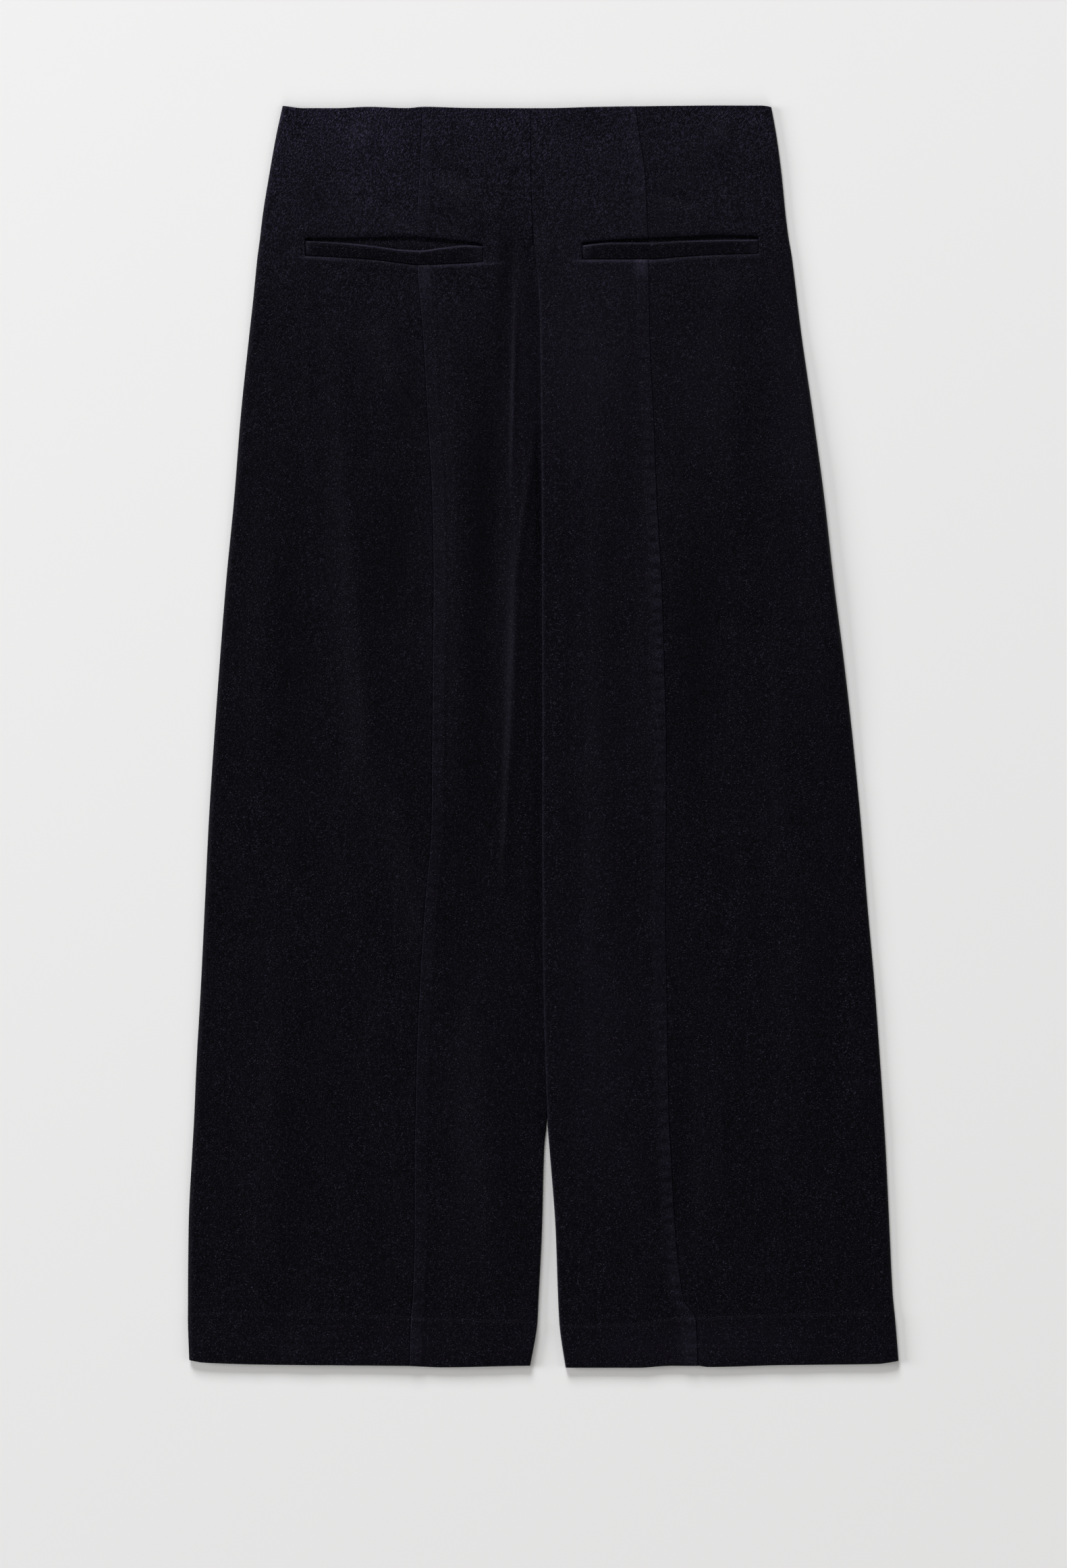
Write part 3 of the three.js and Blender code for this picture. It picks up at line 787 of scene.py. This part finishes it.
def welt(name, side):
    """The folded strip: its lip stands proud and rounded, and it slopes down into its foot seam."""
    inner, x = pocket_columns(side, WELT_COLUMNS, -GAP)
    pocket = POCKETS[side]
    lip = pocket["lip"](inner)[None, :]
    foot = (pocket["foot"](inner) - GAP)[None, :]
    share = WELT_SHARES[:, None]
    drop = mix(lip, foot, share)
    grid_x = np.broadcast_to(x[None, :], drop.shape)
    base = slack_top(grid_x, np.broadcast_to(mix(lip, foot, 0.5), drop.shape))
    ends = np.minimum(x - x[0], x[-1] - x)[None, :]
    at_ends = WELT_END_FALL * np.clip(1 - ends / WELT_END_REACH, 0, 1) ** 2
    gape = GAPE_LIFT * (lip - pocket["slit"](inner)[None, :])
    top = base + WELT_PROUD + gape * (1 - share) - WELT_FALLS[:, None] - at_ends
    under = np.broadcast_to(base.min(axis=0, keepdims=True) - WELT_DEPTH, top.shape)
    upper = np.stack([grid_x, WAIST_Y - drop, top], axis=2)
    lower = np.stack([grid_x, WAIST_Y - drop, np.minimum(under, top - 0.3)], axis=2)
    # Painted highlight along the lip, and wear at the welt's ends
    light_and_wear = LIP_HIGHLIGHT * np.exp(-(((drop - lip - 0.4) / 0.8) ** 2)) + WELT_END_RUB * np.exp(-((ends / 6) ** 2))
    return shell(name, upper, lower, seam=np.stack([np.full_like(drop, FAR), drop, light_and_wear], axis=2))


FACING_TOP = 2.75
FACING_ABOVE, FACING_BELOW, FACING_BEYOND = 7, 9, 4
FACING_COLUMNS, FACING_ROWS = 60, 14
FACING_HOLLOW = 0.8


def facing(name, side):
    """The cloth behind the slit, hollow under the slit's edge and softly uneven."""
    inner, x = pocket_columns(side, FACING_COLUMNS, FACING_BEYOND)
    pocket = POCKETS[side]
    share = np.linspace(0, 1, FACING_ROWS)[:, None]
    drop = mix(pocket["slit"](inner) - FACING_ABOVE, pocket["foot"](inner) + FACING_BELOW, share)
    grid_x = np.broadcast_to(x[None, :], drop.shape)
    hollow = FACING_HOLLOW * np.exp(-(((drop - pocket["slit"](inner)) / 3.0) ** 2))
    top = FACING_TOP + 0.8 * unevenness(grid_x * 1.7, drop * 1.7) - hollow
    upper = np.stack([grid_x, WAIST_Y - drop, np.minimum(top, BACK_UNDER - GAP)], axis=2)
    lower = np.stack([grid_x, WAIST_Y - drop, np.full_like(top, CLOTH + GAP)], axis=2)
    return shell(name, upper, lower)


# A stitch by shares of its length: its thickness, and how far it stands up for one of unit length
STITCH_SHARES = np.array([0, 0.12, 0.35, 0.65, 0.88, 1.0])
STITCH_SWELL = np.array([0.35, 0.8, 1.0, 1.0, 0.8, 0.35])
STITCH_ARCH = np.array([-0.35, 0.05, 0.16, 0.16, 0.05, -0.35]) / 2.6
STITCH_SIDES = 6


def stitch_row(name, places, heights, length, radius):
    """Short threads along a row. places holds each stitch's two ends, in x and y."""
    turn = np.linspace(0, 2 * np.pi, STITCH_SIDES, endpoint=False)
    points = []
    faces = []
    for (x0, y0, x1, y1), z in zip(places, heights):
        run = np.array([x1 - x0, y1 - y0, 0.0])
        direction = run / np.linalg.norm(run)
        across = np.array([-direction[1], direction[0], 0.0])
        centres = np.array([x0, y0, z])[None, :] + STITCH_SHARES[:, None] * run[None, :]
        centres[:, 2] += STITCH_ARCH * length
        ring = across[None, None, :] * np.cos(turn)[None, :, None]
        ring = ring + np.array([0, 0, 1.0])[None, None, :] * np.sin(turn)[None, :, None]
        block = centres[:, None, :] + ring * (radius * STITCH_SWELL)[:, None, None]
        first = len(points) * len(STITCH_SHARES) * STITCH_SIDES
        points.append(block.reshape(-1, 3))
        for k in range(len(STITCH_SHARES) - 1):
            for m in range(STITCH_SIDES):
                a = first + k * STITCH_SIDES + m
                b = first + k * STITCH_SIDES + (m + 1) % STITCH_SIDES
                faces.append([a, b, b + STITCH_SIDES, a + STITCH_SIDES])
    piece = mesh_object(name, np.concatenate(points) * MM, np.array(faces))
    cap_rings(piece)
    return piece


def cap_rings(piece):
    """Closes the open ends of the threads."""
    mesh = bmesh.new()
    mesh.from_mesh(piece.data)
    edges = [edge for edge in mesh.edges if edge.is_boundary]
    bmesh.ops.holes_fill(mesh, edges=edges, sides=8)
    bmesh.ops.recalc_face_normals(mesh, faces=mesh.faces)
    mesh.to_mesh(piece.data)
    mesh.free()
    piece.data.shade_smooth()


STITCH_PITCH = 2.45
STITCH_LENGTH = 1.2
THREAD_RADIUS = 0.32
END_STITCHES = 5
END_STITCH_LENGTH = 1.7
END_THREAD_RADIUS = 0.26
END_INSET = 1.1


def hem_stitches(name, start_x, end_x, top):
    """The row of stitches that holds up one leg's hem."""
    starts = np.arange(start_x + 1.5, end_x - 3.5, STITCH_PITCH)
    places = []
    heights = []
    for i, x in enumerate(starts):
        x1 = x + STITCH_LENGTH
        wander = 0.18 * math.sin(1.7 * i) + 0.1 * math.sin(0.31 * i)
        y0 = WAIST_Y - float(HEM_LINE(x)) + wander
        y1 = WAIST_Y - float(HEM_LINE(x1)) + wander
        places.append((x, y0, x1, y1))
        heights.append(float(top(np.array([x + STITCH_LENGTH / 2]), np.array([HEM_TOP]))[0]))
    return stitch_row(name, places, heights, STITCH_LENGTH, THREAD_RADIUS)


def end_stitches(name, side):
    """The short upright row of stitches at each end of a welt."""
    pocket = POCKETS[side]
    start, end = POCKET_ENDS[side]
    places = []
    heights = []
    for x in (start + END_INSET, end - END_INSET):
        lip = float(pocket["lip"](x)) + 0.6
        foot = float(pocket["foot"](x)) - 0.6
        pitch = (foot - lip) / END_STITCHES
        for i in range(END_STITCHES):
            drop = lip + i * pitch
            places.append((x, WAIST_Y - drop, x + 0.1, WAIST_Y - drop - 0.78 * pitch))
            level = slack_top(np.array([x]), np.array([drop]))[0]
            heights.append(float(level) + WELT_PROUD - 0.9 * (i + 0.5) / END_STITCHES - 0.45)
    return stitch_row(name, places, heights, END_STITCH_LENGTH, END_THREAD_RADIUS)


# Colours of the cloth: its ground, its dyed floats, its slubs and the pale core that rubbing bares, also laid
# on as painted highlights
INK = (0.0002, 0.0002, 0.0003)
INDIGO = (0.0011, 0.001, 0.0019)
SLUB = (0.027, 0.0235, 0.038)
PALE = (0.036, 0.031, 0.054)
# How far down the painted highlight at the waist fades, and the strength below zero at which painted shade
# makes the cloth half as bright
WAIST_HIGHLIGHT_FADE = 0.085
DEEPEST_PAINTED_SHADE = 0.1
# The twill's ribs, in metres from one to the next, and their slant in degrees
WALE = 0.0011
WALE_ANGLE = 58
FLOAT_SCALE, YARN_SCALE, GRIT_SCALE, SLUB_SCALE = 1500.0, 1300.0, 1100.0, 1500.0
SWAY_SCALE, CLOUD_SCALE, DRIFT_SCALE = 60.0, 26.0, 14.0
ROUGHNESS = (0.51, 0.59)
GLOSS = 0.073
GLOSS_TINT = (0.78, 0.73, 1.0, 1.0)
WEAVE_DEPTH = 0.00028
# Sewing thread, dark and light along its twist
THREAD_DARK = (0.0045, 0.004, 0.0065)
THREAD_LIGHT = (0.013, 0.0115, 0.018)
PAPER_DARK = (0.84, 0.837, 0.836)
PAPER_LIGHT = (0.855, 0.852, 0.851)


class Nodes:
    """Makes and joins the nodes of one material."""

    def __init__(self, name):
        self.material = bpy.data.materials.new(name)
        self.material.use_nodes = True
        self.tree = self.material.node_tree
        self.shader = self.tree.nodes["Principled BSDF"]

    def add(self, kind, inputs=None, **settings):
        node = self.tree.nodes.new(kind)
        for key, value in settings.items():
            setattr(node, key, value)
        for key, value in (inputs or {}).items():
            self.feed(node.inputs[key], value)
        return node

    def feed(self, socket, value):
        if isinstance(value, bpy.types.NodeSocket):
            self.tree.links.new(value, socket)
        else:
            socket.default_value = value

    def maths(self, operation, a, b=0.0):
        return self.add("ShaderNodeMath", {0: a, 1: b}, operation=operation).outputs[0]

    def times(self, a, b):
        return self.maths("MULTIPLY", a, b)

    def plus(self, a, b):
        return self.maths("ADD", a, b)

    def blend(self, share, a, b, kind="MIX"):
        node = self.add("ShaderNodeMix", data_type="RGBA", blend_type=kind, clamp_factor=False)
        self.feed(node.inputs[0], share)
        self.feed(node.inputs[6], a)
        self.feed(node.inputs[7], b)
        return node.outputs[2]

    def spread(self, value, low, high, to_low=0.0, to_high=1.0):
        sockets = {"Value": value, "From Min": low, "From Max": high, "To Min": to_low, "To Max": to_high}
        return self.add("ShaderNodeMapRange", sockets, clamp=True).outputs[0]

    def noise(self, vector, scale, detail=2.0, roughness=0.5):
        sockets = {"Vector": vector, "Scale": scale, "Detail": detail, "Roughness": roughness}
        return self.add("ShaderNodeTexNoise", sockets).outputs[0]

    def stretched(self, vector, scale, turn=0.0):
        sockets = {"Vector": vector, "Rotation": (0, 0, math.radians(turn)), "Scale": scale}
        return self.add("ShaderNodeMapping", sockets).outputs[0]


def four(colour, shade=1.0):
    return (*[part * shade for part in colour], 1.0)


def twill(name, grain=0.0, shade=1.0, waist_highlight=0.0, seamed=False):
    """Dark indigo twill: diagonal wales of short floats, light slubs, and a painted highlight that brightens
    it towards the waist.
    """
    n = Nodes(name)
    place = n.add("ShaderNodeTexCoord").outputs["Object"]
    turned = n.stretched(place, (1, 1, 1), grain - WALE_ANGLE)
    across = n.add("ShaderNodeSeparateXYZ", {0: turned}).outputs[1]
    sway = n.noise(place, SWAY_SCALE, 2.0)
    phase = n.plus(n.times(across, 2 * math.pi / WALE), n.times(sway, 5.0))
    wale = n.times(n.plus(n.maths("SINE", phase), 1.0), 0.5)
    floats = n.noise(n.stretched(turned, (0.3, 1.0, 1.0)), FLOAT_SCALE, 1.0, 0.5)
    floats = n.spread(floats, 0.36, 0.66)
    yarn = n.noise(n.stretched(place, (1.0, 0.45, 1.0), grain + 8), YARN_SCALE, 2.0, 0.6)
    yarn = n.spread(yarn, 0.35, 0.7)
    grit = n.noise(n.stretched(turned, (0.6, 1.0, 1.0)), GRIT_SCALE, 1.0, 0.5)
    grit = n.spread(grit, 0.36, 0.68)
    cloud = n.noise(place, CLOUD_SCALE, 3.0, 0.55)
    drift = n.noise(n.stretched(place, (1.0, 0.22, 1.0), 4), DRIFT_SCALE, 2.0, 0.5)
    tone = n.plus(n.times(n.times(floats, wale), 1.5), n.times(yarn, 0.45))
    tone = n.times(tone, n.spread(cloud, 0.25, 0.75, 0.8, 1.2))
    tone = n.times(tone, n.spread(drift, 0.3, 0.7, 0.85, 1.15))
    tone = n.times(tone, n.plus(n.times(n.times(grit, grit), 4.4), 0.05))
    # Painted highlight: the cloth is brighter towards the waist, fading down the leg, by the waist_highlight
    # strength.
    height = n.add("ShaderNodeSeparateXYZ", {0: place}).outputs[1]
    down = n.maths("SUBTRACT", WAIST_Y * MM, height)
    waist_highlight_share = n.times(n.maths("EXPONENT", n.times(down, -1 / WAIST_HIGHLIGHT_FADE)), waist_highlight)
    tone = n.times(tone, n.plus(waist_highlight_share, 1.0))
    colour = n.blend(tone, four(INK, shade), four(INDIGO, shade))
    slub = n.noise(n.stretched(place, (0.6, 1.0, 1.0), grain + 70), SLUB_SCALE, 1.0, 0.5)
    colour = n.blend(n.spread(slub, 0.62, 0.73), colour, four(SLUB, shade))
    if seamed:
        colour = light_and_wear_colour(n, colour, wale)
    n.feed(n.shader.inputs["Base Color"], colour)
    n.feed(n.shader.inputs["Roughness"], n.spread(cloud, 0.3, 0.7, *ROUGHNESS))
    n.shader.inputs["Specular IOR Level"].default_value = GLOSS
    n.shader.inputs["Specular Tint"].default_value = GLOSS_TINT
    relief = n.plus(n.times(wale, 0.5), n.times(floats, 0.7))
    relief = n.plus(relief, n.times(grit, 0.5))
    bump = n.add("ShaderNodeBump", {"Strength": 0.6, "Distance": WEAVE_DEPTH, "Height": relief})
    n.feed(n.shader.inputs["Normal"], bump.outputs[0])
    return n.material


def light_and_wear_colour(n, colour, wale):
    """The cloth's colour by the seam attribute: painted shade where the strength is below zero, and paler
    above it, as painted highlights and wear.
    """
    seam = n.add("ShaderNodeAttribute", attribute_name="seam").outputs["Vector"]
    away, _, light_and_wear = n.add("ShaderNodeSeparateXYZ", {0: seam}).outputs[:3]
    light_and_wear = n.times(light_and_wear, 1 / MM)
    # Painted shade: darker where the strength is below zero.
    colour = n.blend(1.0, colour, n.spread(light_and_wear, -DEEPEST_PAINTED_SHADE, 0.0, 0.5, 1.0), "MULTIPLY")
    share = pale_share(n, wale, seam, away, n.maths("MAXIMUM", light_and_wear, 0.0))
    return n.blend(share, colour, four(PALE))


def pale_share(n, wale, seam, away, light_and_wear):
    """How much of the pale core shows: painted highlights and wear, and patches and dots over a seam
    allowance.
    """
    over = n.maths("LESS_THAN", away, ALLOWANCE_WIDTH * MM + 0.0006)
    patches = n.noise(n.stretched(seam, (1.0, 0.55, 0.0)), 240.0, 2.0, 0.6)
    patches = n.spread(patches, 0.45, 0.62)
    rim = n.maths("ABSOLUTE", n.maths("SUBTRACT", away, ALLOWANCE_WIDTH * MM))
    rim = n.spread(rim, 0.0, 0.0018, 1.0, 0.0)
    near = n.spread(away, 0.0, 0.0035, 1.0, 0.25)
    patches = n.times(patches, n.maths("MAXIMUM", rim, near))
    fold = n.times(n.spread(away, 0.0, 0.0009, 1.0, 0.0), n.times(wale, wale))
    extra = n.plus(n.times(patches, 0.06), n.times(fold, 0.4))
    uneven = n.spread(n.noise(seam, 420.0, 2.0), 0.35, 0.65, 0.4, 1.6)
    uneven = n.times(uneven, n.plus(n.times(wale, 0.9), 0.55))
    return n.plus(n.times(extra, over), n.times(light_and_wear, uneven))


def thread(name):
    """Tonal sewing thread with its twist."""
    n = Nodes(name)
    place = n.add("ShaderNodeTexCoord").outputs["Object"]
    twist = n.noise(n.stretched(place, (1.0, 0.3, 1.0), 35), 2600.0, 1.0)
    colour = n.blend(n.spread(twist, 0.35, 0.65), four(THREAD_DARK), four(THREAD_LIGHT))
    n.feed(n.shader.inputs["Base Color"], colour)
    n.shader.inputs["Roughness"].default_value = 0.55
    n.shader.inputs["Specular IOR Level"].default_value = 0.07
    bump = n.add("ShaderNodeBump", {"Strength": 0.4, "Distance": 0.0001, "Height": twist})
    n.feed(n.shader.inputs["Normal"], bump.outputs[0])
    return n.material


def paper(name):
    """The plain pale surface that the trousers lie on."""
    n = Nodes(name)
    place = n.add("ShaderNodeTexCoord").outputs["Object"]
    grain = n.noise(place, 900.0, 2.0)
    colour = n.blend(grain, four(PAPER_DARK), four(PAPER_LIGHT))
    n.feed(n.shader.inputs["Base Color"], colour)
    n.shader.inputs["Roughness"].default_value = 0.95
    n.shader.inputs["Specular IOR Level"].default_value = 0.1
    return n.material


def dress(piece, material):
    """Gives a piece its material and slot, and fixes it to the body."""
    piece.data.materials.append(material)
    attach(piece, BODY)
    return piece


def cut_area(line_a, line_b, rolled_in):
    """Flat area of a panel between two lines down its length, with its rolled part, in square metres."""
    station = np.linspace(0, LENGTH, 200)
    wide = np.abs(line_b(station) - line_a(station)) + rolled_in
    return float(np.trapz(wide, station)) * MM * MM


# The back panels' cloth: its two lines, its widest place, its grain's turn and the strength of its painted
# highlight at the waist
PANEL_CLOTH = {
    "back_left_side": (LINE["side_left"], LINE["seam_left"], 177, -4, 11),
    "back_left_centre": (LINE["seam_left"], LINE["inner_left"], 100, 0, 8.5),
    "back_right_centre": (LINE["inner_right"], LINE["seam_right"], 106, 2, 8.2),
    "back_right_side": (LINE["seam_right"], LINE["side_right"], 170, 5, 5.6),
}
ROLLED_IN = 3


def make_panels():
    for name, panel in PANELS.items():
        start, end, widest, grain, waist_highlight = PANEL_CLOTH[name]
        piece = back_panel(name + "_cloth", **panel)
        dress(piece, twill(name + "_twill", grain, waist_highlight=waist_highlight, seamed=True))
        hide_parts(name)
        area = cut_area(start, end, ROLLED_IN)


FRONT_INSET = 0.3
FRONT_SHIFT = 3.0


def front_shift(station):
    """The front's centre seam lies a little to the left of the back's."""
    return FRONT_SHIFT * (1 - ease(station, LAP_FULL + 3, LAP_FULL + 25))


def front_outer_left(station):
    return LINE["side_left"](station) + FRONT_INSET


def front_inner_left(station):
    return left_inner(station) - front_shift(station)


def front_inner_right(station):
    return right_inner(station) - front_shift(station)


def front_outer_right(station):
    return LINE["side_right"](station) - FRONT_INSET


def make_fronts():
    fronts = {
        "front_left": (front_outer_left, front_inner_left, False),
        "front_right": (front_inner_right, front_outer_right, True),
    }
    for name, (start, end, lifted) in fronts.items():
        piece = front_panel(name + "_cloth", start, end, lifted)
        dress(piece, twill(name + "_twill", 3))
        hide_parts(name)
        area = cut_area(start, end, 0)


def make_pockets():
    for side in ("left", "right"):
        strip = welt(f"welt_{side}_cloth", side)
        dress(strip, twill(f"welt_{side}_twill", 75, waist_highlight=1.0, seamed=True))
        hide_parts(f"welt_{side}")
        behind = facing(f"pocket_facing_{side}_cloth", side)
        dress(behind, twill(f"facing_{side}_twill", 6, shade=1.2, waist_highlight=1.0))
        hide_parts(f"pocket_facing_{side}")


def make_sewing():
    cotton = thread("thread")
    band = np.array([HEM_TOP])
    left_ends = (float(LINE["side_left"](band)[0]) + 3, float(left_inner(band)[0]) - 3)
    right_ends = (float(right_inner(band)[0]) + 3, float(LINE["side_right"](band)[0]) - 3)
    dress(hem_stitches("hem_stitches_left", *left_ends, left_top), cotton)
    dress(hem_stitches("hem_stitches_right", *right_ends, right_top), cotton)
    for side in ("left", "right"):
        dress(end_stitches(f"welt_stitches_{side}", side), cotton)


def make_stage():
    bpy.ops.mesh.primitive_plane_add(size=14, location=(0, 0, -0.0002))
    surface = bpy.context.object
    surface.name = "surface"
    surface.data.materials.append(paper("paper"))


COOL = (0.985, 0.99, 1.0)
WARM = (1.0, 0.985, 0.955)


def area_light(name, place, size, power, colour):
    """A square lamp that faces the middle of the trousers. Places are in metres."""
    light = bpy.data.lights.new(name, "AREA")
    light.shape = "SQUARE"
    light.size = size
    light.energy = power
    light.color = colour
    lamp = bpy.data.objects.new(name, light)
    bpy.context.scene.collection.objects.link(lamp)
    lamp.location = place
    lamp.rotation_euler = (-Vector(place)).to_track_quat("-Z", "Y").to_euler()


def make_lights():
    area_light("key", (-1.8, 8.3, 4.6), 3.6, 905, COOL)
    area_light("left", (-7.5, 0.6, 3.2), 3.2, 405, COOL)
    area_light("right", (7.5, -1.0, 5.0), 5.0, 160, WARM)
    area_light("foot", (1.0, -8.0, 5.5), 6.0, 250, WARM)
    world = bpy.data.worlds.new("room")
    world.use_nodes = True
    background = world.node_tree.nodes["Background"]
    background.inputs["Color"].default_value = (1.0, 0.99, 0.975, 1.0)
    background.inputs["Strength"].default_value = 0.06
    bpy.context.scene.world = world


# The photograph's frame: its middle in the object's frame, and how much it shows from top to bottom
VIEW_MIDDLE = (-0.0075, -0.0365)
VIEW_HEIGHT = 1.2085
CAMERA_HEIGHT = 4.0
SENSOR = 36.0


def make_camera():
    camera = bpy.data.cameras.new("camera")
    camera.type = "PERSP"
    camera.sensor_width = SENSOR
    camera.lens = SENSOR * CAMERA_HEIGHT / VIEW_HEIGHT
    eye = bpy.data.objects.new("camera", camera)
    bpy.context.scene.collection.objects.link(eye)
    eye.location = (*VIEW_MIDDLE, CAMERA_HEIGHT + BACK_TOP * MM)
    eye.rotation_euler = (0, 0, 0)
    bpy.context.scene.camera = eye
    bpy.context.scene.view_settings.view_transform = "Standard"


make_camera()
make_lights()
make_stage()
make_fronts()
make_panels()
make_pockets()
make_sewing()
